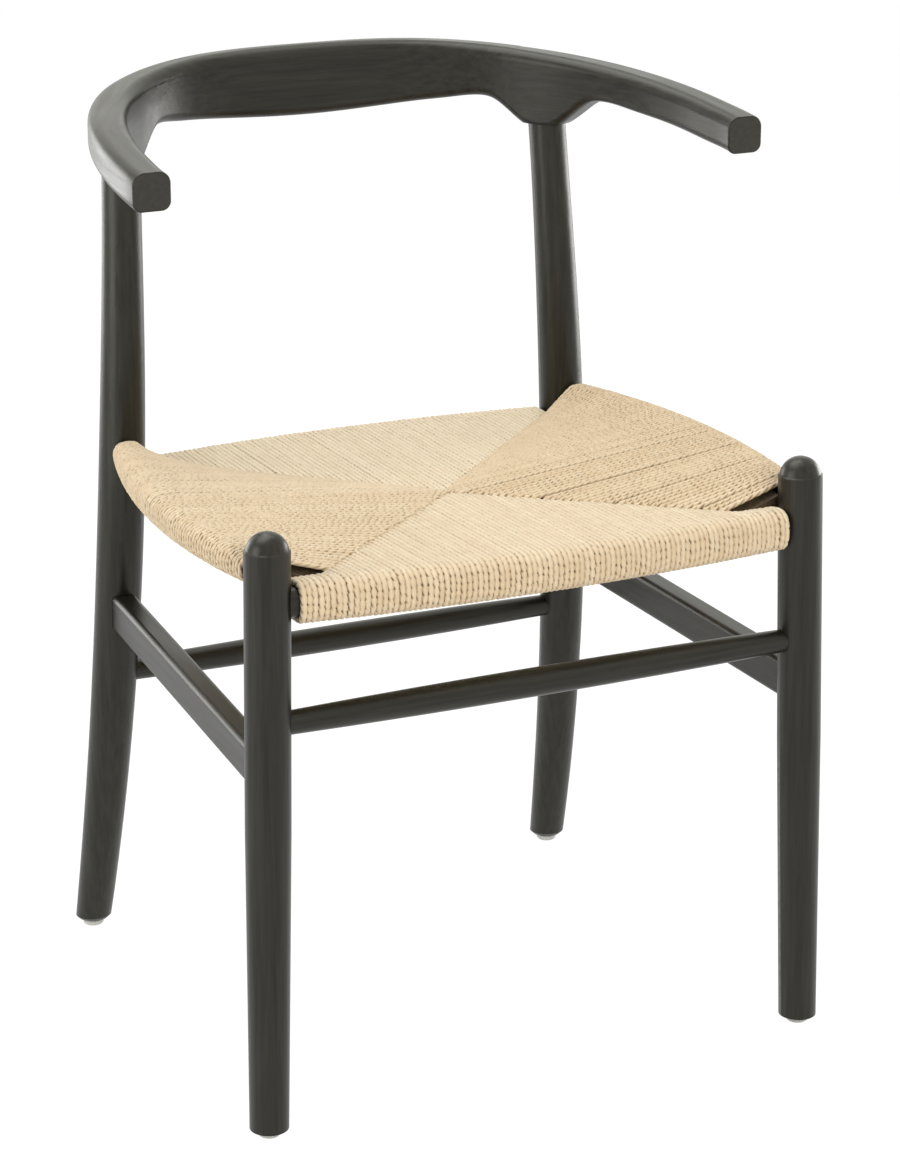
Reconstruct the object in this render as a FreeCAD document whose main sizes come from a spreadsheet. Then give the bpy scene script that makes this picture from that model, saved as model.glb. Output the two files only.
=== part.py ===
import FreeCAD, Part
import math
import os
import re
import Sketcher

# Dining armchair: turned legs, a horseshoe top rail and a woven cord seat.
# Millimetres, +Z up. The origin is on the floor, at the middle of the plan. The chair faces -Y.
# Left pieces are modelled at -X, and the right ones are their mirror images.

SIZES = [
    # Front legs
    ("front_foot_x", 234.9, "half the spacing of the front feet"),
    ("front_foot_y", -227.0, "front feet, forward of the origin"),
    ("front_splay_x", 10.1, "how far the front legs lean in over their height"),
    ("front_splay_y", 9.3, "how far the front legs lean back over their height"),
    ("front_leg_dia", 35.0, "front leg, upper part"),
    ("front_foot_dia", 30.5, "front leg at the floor"),
    ("front_taper_height", 247.0, "height where the taper of the front leg starts"),
    ("leg_stub", 34.7, "front leg above the middle of the side rails"),
    ("dome_height", 13.5, "domed end of the front leg"),
    ("dome_edge", 1.2, "soft step at the foot of the dome"),
    ("foot_bevel", 2.6, "bevel round the foot of each leg"),
    # Rear legs
    ("rear_foot_x", 222.7, "half the spacing of the rear feet"),
    ("rear_foot_y", 203.5, "rear feet, behind the origin"),
    ("rear_waist_y", 146.0, "foremost point of the curved rear leg"),
    ("rear_waist_z", 437.0, "height of that point"),
    ("rear_top_x", 192.3, "rear leg under the top rail"),
    ("rear_top_y", 157.5, "rear leg under the top rail"),
    ("rear_foot_dia", 30.4, "rear leg at the floor"),
    ("rear_shin_dia", 35.2, "rear leg below the stretchers"),
    ("rear_leg_dia", 38.2, "rear leg at the stretchers and the seat"),
    ("rear_neck_dia", 34.8, "rear leg between seat and top rail"),
    ("rear_top_dia", 31.6, "rear leg at its shoulder"),
    ("post_tenon_dia", 18.0, "round tenon of the rear leg"),
    ("post_tenon_length", 24.0, "its length"),
    # Top rail
    ("rail_back_y", 233.5, "middle line of the rail at the centre of the back"),
    ("rail_quarter_x", 99.4, "middle line of the rail between centre and leg"),
    ("rail_quarter_y", 226.7, "the same point"),
    ("rail_mid_x", 237.6, "middle line of the rail between leg and arm end"),
    ("rail_mid_y", 55.0, "the same point"),
    ("arm_end_x", 252.0, "middle of the arm's end face"),
    ("arm_end_y", -72.4, "the same point"),
    ("rail_top_back", 750.0, "top of the rail at the centre of the back"),
    ("rail_top_post", 740.5, "top of the rail over the rear leg"),
    ("rail_top_end", 720.4, "top of the arm at its end"),
    ("back_height", 59.0, "depth of the back rest at its centre"),
    ("arm_height", 30.0, "depth of the arm"),
    ("back_blend", 300.0, "length of rail in which the back rest slims to the arm"),
    ("post_depth", 59.5, "depth of the rail over the rear leg, down to the leg's shoulder"),
    ("post_flare", 30.0, "how much deeper the rail is over the rear leg, before its foot is trimmed flat"),
    ("flare_flat", 2.0, "half the length of the flare at its deepest"),
    ("flare_back_reach", 60.0, "length of the flare towards the back rest"),
    ("flare_arm_reach", 61.0, "length of the flare towards the arm"),
    ("back_thick", 25.0, "thickness at the centre of the back"),
    ("post_thick", 31.0, "thickness over the rear leg"),
    ("arm_thick", 30.5, "width of the arm at its end"),
    ("back_round", 11.0, "upper edge radius of the back rest"),
    ("arm_round", 9.5, "upper edge radius of the arm"),
    ("under_round", 7.5, "lower edge radius of the rail"),
    ("arm_end_round", 1.5, "edge radius of the arm's end face"),
    ("back_seam", 190.0, "glue joint of back rest and corner, from the centre along the rail"),
    ("arm_seam", 345.0, "glue joint of corner and arm, from the centre along the rail"),
    ("dowel_dia", 7.0, "dowels in the glue joints"),
    ("dowel_length", 30.0, "their length"),
    # Seat rails
    ("seat_rail_z", 425.5, "middle of the front seat rail"),
    ("rear_rail_drop", 5.5, "rear seat rail below the front one"),
    ("side_rail_rise", 21.2, "side seat rails above the front one"),
    ("front_rail_end_thick", 18.4, "front seat rail at the legs"),
    ("front_rail_end_height", 23.0, "front seat rail at the legs"),
    ("front_rail_mid_thick", 20.0, "front seat rail at its middle"),
    ("front_rail_mid_height", 24.0, "front seat rail at its middle"),
    ("front_rail_bow", 13.5, "how far it bows forward"),
    ("rear_rail_end_thick", 13.0, "rear seat rail at the legs"),
    ("rear_rail_end_height", 17.0, "rear seat rail at the legs"),
    ("rear_rail_mid_thick", 18.0, "rear seat rail at its middle"),
    ("rear_rail_mid_height", 18.5, "rear seat rail at its middle"),
    ("rear_rail_bow", 11.0, "how far it bows back"),
    ("side_rail_end_thick", 14.2, "side seat rail at the legs"),
    ("side_rail_end_height", 12.4, "side seat rail at the legs"),
    ("side_rail_mid_thick", 21.4, "side seat rail at its middle"),
    ("side_rail_mid_height", 18.4, "side seat rail at its middle"),
    ("side_rail_bow", 18.5, "how far it bows out"),
    ("rail_round_share", 0.42, "edge radius of a seat rail, of its smaller side"),
    ("rail_tenon_dia", 10.5, "round tenons of the seat rails"),
    ("rail_tenon_length", 7.5, "their length"),
    ("housing_depth", 6.5, "how deep rails and stretchers are let into the legs"),
    # Stretchers
    ("front_stretcher_z", 331.6, "middle of the front stretcher"),
    ("rear_stretcher_z", 246.4, "middle of the rear stretcher"),
    ("stretcher_end_dia", 18.2, "round stretcher at its ends"),
    ("stretcher_swell", 2.2, "how far a round stretcher swells on each side at its middle"),
    ("side_stretcher_z", 294.0, "side stretcher at the front leg"),
    ("side_stretcher_rise", 13.5, "how much higher it is at the rear leg"),
    ("side_stretcher_height", 31.0, "side stretcher section"),
    ("side_stretcher_thick", 20.2, "side stretcher section"),
    ("side_stretcher_round", 4.5, "its edge radius"),
    # Glides, nails and tacks
    ("glide_dia", 17.5, "plastic glide"),
    ("glide_height", 6.0, "its height, and so the leg's clearance from the floor"),
    ("glide_edge", 1.0, "its lower edge"),
    ("nail_dia", 2.6, "nail through the glide"),
    ("nail_length", 18.0, "its length above the head"),
    ("nail_head_dia", 6.4, "its head"),
    ("nail_head_height", 0.8, "its head"),
    ("nail_recess", 1.6, "depth of the head's seat in the glide"),
    ("tack_dia", 1.6, "tack that holds a cord end"),
    ("tack_length", 9.0, "its length under the head"),
    ("tack_head_dia", 5.0, "its head"),
    ("tack_head_height", 0.8, "its head"),
    # Woven seat
    ("cord_layer", 4.5, "thickness of the cord round a rail"),
    ("wrap_gap", 5.0, "bare rail between a leg and the cord"),
    ("weave_y", -49.0, "where the four panels of the weave meet"),
    ("weave_drop", 6.4, "top of the weave there, below the crown of the front wrap"),
    ("weave_thick", 19.0, "thickness of the weave there"),
    ("pad_sink", 0.5, "how far the panels of the weave lie under the crown of the wraps"),
    # Fits and limits
    ("fit_gap", 0.1, "clearance in wooden joints and round nails"),
    ("soft_gap", 0.3, "clearance of the cord from wood and metal"),
    ("cut_overrun", 12.0, "how far cutting tools and tenons run past a face"),
    ("round_limit_share", 0.46, "largest share of a section that one rounded edge may take"),
]

# Steps of the top rail's loft: centre to flare, down each side of the flare, and on to the arm's end
BACK_STEPS = 6
FLARE_STEPS = 6
ARM_STEPS = 5

QUARTER_DROP_SHARE = 0.24   # fall of the rail's top at its quarter point, of that from back to leg
MID_DROP_SHARE = 0.40       # fall of the rail's top at its middle point, of that from leg to arm end
DOWEL_SPREAD_SHARE = 0.42   # distance between two dowels, of the rail's depth at the joint
SHIN_HEIGHT_SHARE = 0.30    # heights of the rear leg's sections, of its waist and of the length above it
KNEE_HEIGHT_SHARE = 0.62
NECK_HEIGHT_SHARE = 0.50

os.makedirs("parts", exist_ok=True)
doc = FreeCAD.newDocument("chair")
sheet = doc.addObject("Spreadsheet::Sheet", "Sizes")
for row, (alias, value, meaning) in enumerate(SIZES, start=1):
    sheet.set(f"A{row}", meaning)
    sheet.set(f"B{row}", str(value))
    sheet.setAlias(f"B{row}", alias)
doc.recompute()

UP = FreeCAD.Vector(0, 0, 1)
nodes = {}


# Sizes and small tools

def bound(text):
    """Expression for a property: each plain alias in the text becomes a cell of the sheet."""
    return re.sub(r"\b([a-z]+(?:_[a-z]+)+)\b", r"Sizes.\1", text)


def size(text):
    """Present value of an expression in aliases."""
    return float(sheet.evalExpression(text))


def vector(x, y, z=0.0):
    return FreeCAD.Vector(x, y, z)


def point(texts):
    """Point whose three coordinates are expressions."""
    return vector(*(size(text) for text in texts))


def mirrored(texts):
    """The same point on the right-hand side."""
    return (f"-({texts[0]})", texts[1], texts[2])


def node(item, name):
    """Names a finished piece, which is then written under that name."""
    item.Label = name
    nodes[name] = item
    return item


def mirror(item):
    """Mirror image of an item in the plane between left and right."""
    twin = doc.addObject("Part::Mirroring", "mirror")
    twin.Source = item
    twin.Normal = vector(1, 0, 0)
    return twin


def left_and_right(item, name):
    """Two nodes: a left piece, and the right one that mirrors it."""
    node(item, name.format("left"))
    node(mirror(item), name.format("right"))


def carve(base, tools):
    """Cuts each tool out of the base in turn."""
    for tool in tools:
        cut = doc.addObject("Part::Cut", "cut")
        cut.Base = base
        cut.Tool = tool
        base = cut
    return base


def fuse(items):
    joined = doc.addObject("Part::MultiFuse", "fuse")
    joined.Shapes = items
    return joined


def group(items):
    together = doc.addObject("Part::Compound", "group")
    together.Links = items
    return together


# Sketches, bodies and rods

def draw(item, outline, rises):
    """Draws a closed outline in a sketch.

    Each corner is a pair of expressions. rises maps the number of an edge to the expression of its rise,
    which makes that edge an arc. It rises to the right of the edge's direction.
    """
    points = [vector(size(x), size(y)) for x, y in outline]
    ends = []
    for edge, start in enumerate(points):
        stop = points[(edge + 1) % len(points)]
        if edge in rises:
            along = (stop - start).normalize()
            middle = (start + stop) / 2 + vector(along.y, -along.x) * size(rises[edge])
            geometry = item.addGeometry(Part.Arc(start, middle, stop))
        else:
            geometry = item.addGeometry(Part.LineSegment(start, stop))
        forward = (item.getPoint(geometry, 1) - start).Length < (item.getPoint(geometry, 2) - start).Length
        ends.append((geometry, 1 if forward else 2, 2 if forward else 1))
    for edge, (geometry, first, last) in enumerate(ends):
        following = ends[(edge + 1) % len(ends)]
        item.addConstraint(Sketcher.Constraint("Coincident", geometry, last, following[0], following[1]))
        for kind, text in zip(("DistanceX", "DistanceY"), outline[edge]):
            place = item.addConstraint(Sketcher.Constraint(kind, geometry, first, size(text)))
            item.setExpression(f"Constraints[{place}]", bound(text))
    for edge, rise in rises.items():
        (x0, y0), (x1, y1) = outline[edge], outline[(edge + 1) % len(outline)]
        radius = f"((({x1}) - ({x0}))^2 + (({y1}) - ({y0}))^2) / (8 * ({rise})) + ({rise}) / 2"
        place = item.addConstraint(Sketcher.Constraint("Radius", ends[edge][0], size(radius)))
        item.setExpression(f"Constraints[{place}]", bound(radius))


def body_sketch(body, role, outline, rises=None):
    """Sketch on an origin plane of a body."""
    item = body.newObject("Sketcher::SketchObject", "outline")
    plane = next(f for f in body.Origin.OriginFeatures if f.Role == role)
    item.AttachmentSupport = (plane, [""])
    item.MapMode = "FlatFace"
    draw(item, outline, rises or {})
    return item


def rounded_section(thick, height, radius, centre, rotation):
    """Sketch of a rounded rectangle about its own origin, thick along its X and high along its Y."""
    item = doc.addObject("Sketcher::SketchObject", "section")
    a, b = f"({thick}) / 2", f"({height}) / 2"
    inner_a, inner_b = f"({a} - {radius})", f"({b} - {radius})"
    outline = [
        (f"-{inner_a}", f"-({b})"), (inner_a, f"-({b})"), (a, f"-{inner_b}"), (a, inner_b),
        (inner_a, b), (f"-{inner_a}", b), (f"-({a})", inner_b), (f"-({a})", f"-{inner_b}"),
    ]
    draw(item, outline, {edge: f"({radius} * (1 - sqrt(1 / 2)))" for edge in (1, 3, 5, 7)})
    item.Placement = FreeCAD.Placement(centre, rotation)
    return item


def loft(name, sections):
    item = doc.addObject("Part::Loft", name)
    item.Sections = sections
    item.Solid = True
    return item


def turned(name, outline, rises=None):
    """Body turned about its own Z from a half outline, whose corners are (radius, height)."""
    body = doc.addObject("PartDesign::Body", name)
    profile = body_sketch(body, "XZ_Plane", outline, rises)
    feature = body.newObject("PartDesign::Revolution", "turning")
    feature.Profile = profile
    feature.ReferenceAxis = (profile, ["V_Axis"])
    body.Tip = feature
    return body


def board(name, length, thick, height, edge_round):
    """Straight board with rounded long edges along its own X, centred."""
    body = doc.addObject("PartDesign::Body", name)
    half, side = f"({length}) / 2", f"({thick}) / 2"
    outline = [(f"-({half})", f"-({side})"), (half, f"-({side})"), (half, side), (f"-({half})", side)]
    profile = body_sketch(body, "XY_Plane", outline)
    pad = body.newObject("PartDesign::Pad", "pad")
    pad.Profile = profile
    pad.setExpression("Length", bound(height))
    pad.SideType = "Symmetric"
    doc.recompute()
    edges = enumerate(pad.Shape.Edges, start=1)
    rounding = body.newObject("PartDesign::Fillet", "rounding")
    rounding.Base = (pad, [f"Edge{number}" for number, edge in edges if edge.Length > size(half)])
    limits = f"({thick}) * round_limit_share; ({height}) * round_limit_share"
    rounding.setExpression("Radius", bound(f"min({edge_round}; {limits})"))
    body.Tip = rounding
    return body


def rod(name, radius, length, start, direction):
    """Cylinder from a start point along a direction."""
    item = doc.addObject("Part::Cylinder", name)
    item.setExpression("Radius", bound(radius))
    item.setExpression("Height", bound(length))
    item.Placement = FreeCAD.Placement(start, FreeCAD.Rotation(UP, direction))
    return item


# Axes of the left legs, and the spans between legs

SIDE_RAIL_Z = "(seat_rail_z + side_rail_rise)"
REAR_RAIL_Z = "(seat_rail_z - rear_rail_drop)"
FRONT_LEG_HEIGHT = f"({SIDE_RAIL_Z} + leg_stub)"
REAR_TOP_Z = "(rail_top_post - post_depth)"
FRONT_SOCKET = "(front_leg_dia / 2 - housing_depth)"
REAR_SOCKET = "(rear_leg_dia / 2 - housing_depth)"


def front_axis(height):
    """Left front leg's axis at a height above the floor, as expressions."""
    share = f"({height}) / {FRONT_LEG_HEIGHT}"
    return (f"-front_foot_x + front_splay_x * {share}", f"front_foot_y + front_splay_y * {share}", height)


def rear_axis(height):
    """Left rear leg's axis: straight seen from the front, two parabolas seen from the side."""
    if size(height) < size("rear_waist_z"):
        bend = f"(rear_foot_y - rear_waist_y) * (1 - ({height}) / rear_waist_z)^2"
    else:
        rise = f"(({height}) - rear_waist_z) / ({REAR_TOP_Z} - rear_waist_z)"
        bend = f"(rear_top_y - rear_waist_y) * ({rise})^2"
    lean = f"(rear_foot_x - rear_top_x) * ({height}) / {REAR_TOP_Z}"
    return (f"-rear_foot_x + {lean}", f"rear_waist_y + {bend}", height)


class Span:
    """Straight line from one leg axis to another, shortened at each end to the floor of its socket."""

    def __init__(self, start, stop, start_socket, stop_socket):
        self.along = (point(stop) - point(start)).normalize()
        self.start = point(start) + self.along * size(start_socket)
        self.stop = point(stop) - self.along * size(stop_socket)
        squares = " + ".join(f"(({b}) - ({a}))^2" for a, b in zip(start, stop))
        self.length = f"(sqrt({squares}) - {start_socket} - {stop_socket})"
        self.middle = (self.start + self.stop) / 2
        self.across = UP.cross(self.along).normalize()
        self.up = self.along.cross(self.across)

    def lay(self, item):
        """Lays an item along the span: its own X along it, its own Z upward, its middle at the middle."""
        rotation = FreeCAD.Rotation(self.along, self.across, self.up, "XYZ")
        item.Placement = FreeCAD.Placement(self.middle, rotation)
        return item

    def lay_turned(self, item):
        """Lays a turned item along the span: its own Z along it."""
        item.Placement = FreeCAD.Placement(self.start, FreeCAD.Rotation(UP, self.along))
        return item


def cross_span(axis, height, socket):
    """Span from a left leg to its right twin."""
    return Span(axis(height), mirrored(axis(height)), socket, socket)


front_rail_span = cross_span(front_axis, "seat_rail_z", FRONT_SOCKET)
rear_rail_span = Span(mirrored(rear_axis(REAR_RAIL_Z)), rear_axis(REAR_RAIL_Z), REAR_SOCKET, REAR_SOCKET)
side_rail_span = Span(rear_axis(SIDE_RAIL_Z), front_axis(SIDE_RAIL_Z), REAR_SOCKET, FRONT_SOCKET)
front_stretcher_span = cross_span(front_axis, "front_stretcher_z", FRONT_SOCKET)
rear_stretcher_span = cross_span(rear_axis, "rear_stretcher_z", REAR_SOCKET)
side_stretcher_span = Span(
    rear_axis("(side_stretcher_z + side_stretcher_rise)"), front_axis("side_stretcher_z"),
    REAR_SOCKET, FRONT_SOCKET,
)


# Seat rails

# Each span runs so that the inside of the seat lies on its left
SEAT_RAILS = {"front": front_rail_span, "rear": rear_rail_span, "side": side_rail_span}


def seat_rail_bar(key, grow):
    """Bowed rail that swells to its middle, without its tenons, grown all round by an expression."""
    span = SEAT_RAILS[key]
    rotation = FreeCAD.Rotation(span.across, span.up, span.along, "XYZ")
    bow = span.across * size(f"{key}_rail_bow")
    margin = span.along * size(grow)
    centres = [("end", span.start - margin), ("mid", span.middle - bow), ("end", span.stop + margin)]
    sections = []
    for part, centre in centres:
        thick, height = f"{key}_rail_{part}_thick", f"{key}_rail_{part}_height"
        radius = f"(min({thick}; {height}) * rail_round_share + {grow})"
        grown = [f"{thick} + 2 * {grow}", f"{height} + 2 * {grow}", radius]
        sections.append(rounded_section(*grown, centre, rotation))
    return loft(key + "_rail", sections)


def seat_rail(key, grow):
    """The rail with a round tenon at each end."""
    span = SEAT_RAILS[key]
    tenons = []
    for end, outward in ((span.start, span.along * -1), (span.stop, span.along)):
        root = end - outward * size("cut_overrun")
        length = f"cut_overrun + rail_tenon_length + {grow}"
        tenons.append(rod("tenon", f"rail_tenon_dia / 2 + {grow}", length, root, outward))
    return fuse([seat_rail_bar(key, grow)] + tenons)


def tack_seat(key):
    """Middle of a rail's inner face, and the direction that the face looks in."""
    span = SEAT_RAILS[key]
    return span.middle + span.across * size(f"{key}_rail_mid_thick / 2 - {key}_rail_bow"), span.across


def tack(key):
    """Round-headed tack in the inner face of a rail."""
    face, outward = tack_seat(key)
    shank, head = "tack_dia / 2", "tack_head_dia / 2"
    outline = [
        ("0", "-tack_length"), (shank, "-tack_length + tack_dia"), (shank, "0"), (head, "0"),
        (head, "tack_head_height"), ("0", "tack_head_height"),
    ]
    body = turned("tack", outline)
    body.Placement = FreeCAD.Placement(face + outward * size("fit_gap"), FreeCAD.Rotation(UP, outward))
    return body


def tack_hole(key):
    face, outward = tack_seat(key)
    start = face + outward * size("cut_overrun")
    length = "cut_overrun + tack_length + fit_gap"
    return rod("tack_hole", "tack_dia / 2 + fit_gap", length, start, outward * -1)


rail_sockets = {key: seat_rail(key, "fit_gap") for key in SEAT_RAILS}
finished_rails = {key: carve(seat_rail(key, "0"), [tack_hole(key)]) for key in SEAT_RAILS}
node(finished_rails["front"], "front_seat_rail")
node(finished_rails["rear"], "rear_seat_rail")
left_and_right(finished_rails["side"], "{}_seat_rail")
tacks = {key: tack(key) for key in SEAT_RAILS}
node(group(list(tacks.values()) + [mirror(tacks["side"])]), "cord_tacks")


# Stretchers

def round_stretcher(name, span, grow):
    """Barrelled rod, grown all round by an expression."""
    radius = f"(stretcher_end_dia / 2 + {grow})"
    length = f"({span.length} + {grow})"
    outline = [("0", f"-({grow})"), (radius, f"-({grow})"), (radius, length), ("0", length)]
    return span.lay_turned(turned(name, outline, {1: "stretcher_swell"}))


def side_stretcher(name, grow):
    """Flat board with rounded edges, grown all round by an expression."""
    span = side_stretcher_span
    length = f"{span.length} + 2 * {grow}"
    thick, height = f"(side_stretcher_thick + 2 * {grow})", f"(side_stretcher_height + 2 * {grow})"
    return span.lay(board(name, length, thick, height, f"side_stretcher_round + {grow}"))


node(round_stretcher("front_bar", front_stretcher_span, "0"), "front_stretcher")
node(round_stretcher("rear_bar", rear_stretcher_span, "0"), "rear_stretcher")
left_and_right(side_stretcher("side_bar", "0"), "{}_side_stretcher")
front_stretcher_socket = round_stretcher("front_socket", front_stretcher_span, "fit_gap")
rear_stretcher_socket = round_stretcher("rear_socket", rear_stretcher_span, "fit_gap")
side_stretcher_socket = side_stretcher("side_socket", "fit_gap")


# Glides and their nails

def standing(item, foot):
    """Stands a turned item on the floor under a leg."""
    item.Placement = FreeCAD.Placement(vector(foot.x, foot.y), FreeCAD.Rotation())
    return item


def glide(name):
    rim, bore, seat = "glide_dia / 2", "nail_dia / 2 + fit_gap", "nail_head_dia / 2 + fit_gap"
    return turned(name, [
        (seat, "0"), (f"{rim} - glide_edge", "0"), (rim, "glide_edge"), (rim, "glide_height"),
        (bore, "glide_height"), (bore, "nail_recess"), (seat, "nail_recess"),
    ])


def bevel_ring(key):
    """Tool that bevels the foot of a leg."""
    inner, outer = f"{key}_foot_dia / 2 - foot_bevel", f"{key}_foot_dia / 2 + cut_overrun"
    high = "glide_height + foot_bevel + cut_overrun"
    return turned(key + "_bevel", [(inner, "glide_height"), (outer, "glide_height"), (outer, high)])


def nail(name):
    shank, head = "nail_dia / 2", "nail_head_dia / 2"
    low, high = "nail_recess - nail_head_height - fit_gap", "nail_recess - fit_gap"
    tip = f"{high} + nail_length"
    return turned(name, [
        ("0", low), (head, low), (head, high), (shank, high), (shank, f"{tip} - nail_dia"), ("0", tip),
    ])


feet = {"front": point(front_axis("glide_height")), "rear": point(rear_axis("glide_height"))}
nails = []
nail_holes = {}
foot_bevels = {}
for key, foot in feet.items():
    left_and_right(standing(glide(key + "_disc"), foot), key + "_{}_glide")
    foot_bevels[key] = standing(bevel_ring(key), foot)
    nails.append(standing(nail(key + "_nail"), foot))
    nails.append(mirror(nails[-1]))
    depth = "nail_recess + nail_length - glide_height + fit_gap"
    nail_holes[key] = rod(key + "_hole", "nail_dia / 2 + fit_gap", depth, foot, UP)
node(group(nails), "glide_nails")


# Front legs: turned, domed, trimmed level above the floor

def front_leg():
    wide, narrow, rim = "front_leg_dia / 2", "front_foot_dia / 2", "(front_leg_dia / 2 - dome_edge)"
    shoulder = f"({FRONT_LEG_HEIGHT} - dome_height)"
    chord_square = f"({rim}^2 + dome_height^2)"
    ball = f"({chord_square} / (2 * dome_height))"
    blank = turned("front_blank", [
        ("0", "0"), (narrow, "0"), (wide, "front_taper_height"), (wide, f"{shoulder} - dome_edge"),
        (rim, shoulder), ("0", FRONT_LEG_HEIGHT),
    ], {4: f"({ball} - sqrt({ball}^2 - {chord_square} / 4))"})
    low, high = point(front_axis("0")), point(front_axis(FRONT_LEG_HEIGHT))
    blank.Placement = FreeCAD.Placement(low, FreeCAD.Rotation(UP, high - low))
    below = low - UP * size("front_leg_dia")
    floor = rod("floor_trim", "front_leg_dia", "front_leg_dia + glide_height", below, UP)
    sockets = [rail_sockets["front"], rail_sockets["side"], front_stretcher_socket, side_stretcher_socket]
    return carve(blank, [floor] + sockets + [nail_holes["front"], foot_bevels["front"]])


left_and_right(front_leg(), "front_{}_leg")


# Rear legs: lofted through level circles, with a round tenon on top

def rear_leg():
    above = f"({REAR_TOP_Z} - rear_waist_z)"
    stations = [
        ("glide_height", "rear_foot_dia"),
        (f"rear_waist_z * {SHIN_HEIGHT_SHARE}", "rear_shin_dia"),
        (f"rear_waist_z * {KNEE_HEIGHT_SHARE}", "rear_leg_dia"),
        ("rear_waist_z", "rear_leg_dia"),
        (f"rear_waist_z + {above} * {NECK_HEIGHT_SHARE}", "rear_neck_dia"),
        (REAR_TOP_Z, "rear_top_dia"),
    ]
    circles = []
    for height, dia in stations:
        circle = doc.addObject("Part::Circle", "section")
        circle.setExpression("Radius", bound(f"{dia} / 2"))
        for letter, text in zip("xyz", rear_axis(height)):
            circle.setExpression(f"Placement.Base.{letter}", bound(text))
        circles.append(circle)
    shaft = loft("rear_blank", circles)
    root = point(rear_axis(REAR_TOP_Z)) - UP * size("cut_overrun")
    tenon = rod("post_tenon", "post_tenon_dia / 2", "cut_overrun + post_tenon_length", root, UP)
    sockets = [rail_sockets["rear"], rail_sockets["side"], rear_stretcher_socket, side_stretcher_socket]
    return carve(fuse([shaft, tenon]), sockets + [nail_holes["rear"], foot_bevels["rear"]])


left_and_right(rear_leg(), "rear_{}_leg")


# Top rail: one loft round the horseshoe, sawn into five segments

def rail_curve():
    """Middle line of the rail's top, from the left arm's end to the right one's. Both ends point ahead."""
    back, post, end = size("rail_top_back"), size("rail_top_post"), size("rail_top_end")
    half = [
        vector(size("rail_quarter_x"), size("rail_quarter_y"), back + (post - back) * QUARTER_DROP_SHARE),
        vector(size("rear_top_x"), size("rear_top_y"), post),
        vector(size("rail_mid_x"), size("rail_mid_y"), post + (end - post) * MID_DROP_SHARE),
        vector(size("arm_end_x"), size("arm_end_y"), end),
    ]
    left = [vector(-p.x, p.y, p.z) for p in reversed(half)]
    points = left + [vector(0, size("rail_back_y"), back)] + half
    middle, tip = half[-2:]
    ahead = vector(0, tip.y - middle.y, tip.z - middle.z)
    curve = Part.BSplineCurve()
    curve.interpolate(Points=points, InitialTangent=ahead * -1, FinalTangent=ahead)
    return curve


rail_line = rail_curve()
rail_centre = (rail_line.FirstParameter + rail_line.LastParameter) / 2
rail_half_length = rail_line.length() / 2
post_place = rail_line.length(
    rail_centre, rail_line.parameter(vector(size("rear_top_x"), size("rear_top_y"), size("rail_top_post")))
)


def rail_frame(place):
    """Point on the rail's top line, direction along it in plan, and direction out of the horseshoe."""
    parameter = rail_line.parameterAtDistance(place, rail_centre)
    tangent = rail_line.tangent(parameter)[0]
    along = vector(tangent.x, tangent.y).normalize()
    return rail_line.value(parameter), along, vector(-along.y, along.x)


def ease(share):
    """Smooth step down from 1 at share 0 to 0 at share 1."""
    return (1 + math.cos(math.pi * min(max(share, 0), 1))) / 2


def blend(start, stop, share):
    return start + (stop - start) * min(max(share, 0), 1)


def rail_depth(place):
    """Depth of the rail: the back rest slims to the arm, with a flare over each rear leg."""
    reach = size("flare_arm_reach" if abs(place) > post_place else "flare_back_reach")
    flat = size("flare_flat")
    flare = size("post_flare") * ease((abs(abs(place) - post_place) - flat) / (reach - flat))
    back = size("back_height - arm_height") * ease(abs(place) / size("back_blend"))
    return size("arm_height") + back + flare


def rail_thickness(place):
    if abs(place) < post_place:
        return blend(size("back_thick"), size("post_thick"), abs(place) / post_place)
    share = (abs(place) - post_place) / (rail_half_length - post_place)
    return blend(size("post_thick"), size("arm_thick"), share)


def rail_section(place):
    """Upright section of the rail, a rectangle with rounded corners."""
    top, along, outward = rail_frame(place)
    depth, half = rail_depth(place), rail_thickness(place) / 2
    limit = min(2 * half, depth) * size("round_limit_share")
    upper = min(blend(size("back_round"), size("arm_round"), abs(place) / post_place), limit)
    lower = min(size("under_round"), limit)

    def at(across, up):
        return top + outward * across + UP * up

    edges = []
    corners = [(half - upper, -upper, upper), (half - lower, lower - depth, lower),
               (lower - half, lower - depth, lower), (upper - half, -upper, upper)]
    turns = [(0, 1), (1, 0), (0, -1), (-1, 0), (0, 1)]
    last = at(upper - half, 0)
    for (across, up, radius), (a, b), (c, d) in zip(corners, turns, turns[1:]):
        start, stop = at(across + a * radius, up + b * radius), at(across + c * radius, up + d * radius)
        diagonal = radius * math.sqrt(0.5)
        middle = at(across + (a + c) * diagonal, up + (b + d) * diagonal)
        edges += [Part.LineSegment(last, start).toShape(), Part.Arc(start, middle, stop).toShape()]
        last = stop
    return Part.Wire(edges)


def rail_places():
    """Where the loft has its sections, from arm end to arm end."""
    marks = [0, post_place - size("flare_back_reach"), post_place,
             post_place + size("flare_arm_reach"), rail_half_length]
    half = []
    for start, stop, count in zip(marks, marks[1:], (BACK_STEPS, FLARE_STEPS, FLARE_STEPS, ARM_STEPS)):
        half += [start + (stop - start) * step / count for step in range(1, count + 1)]
    return [-place for place in reversed(half)] + [0] + half


def beyond(place):
    """Block that holds what lies further from the centre than a place on the left half of the rail."""
    origin, along, outward = rail_frame(-place)
    extent = 2 * rail_half_length
    block = Part.makeBox(extent, extent, extent, vector(0, -extent / 2, -extent / 2))
    turn = FreeCAD.Placement(origin, FreeCAD.Rotation(vector(1, 0), along * -1))
    block.Placement = turn.multiply(block.Placement)
    return block


def rail_segment(name, shape):
    item = doc.addObject("Part::Feature", name)
    item.Shape = shape
    return item


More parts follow.
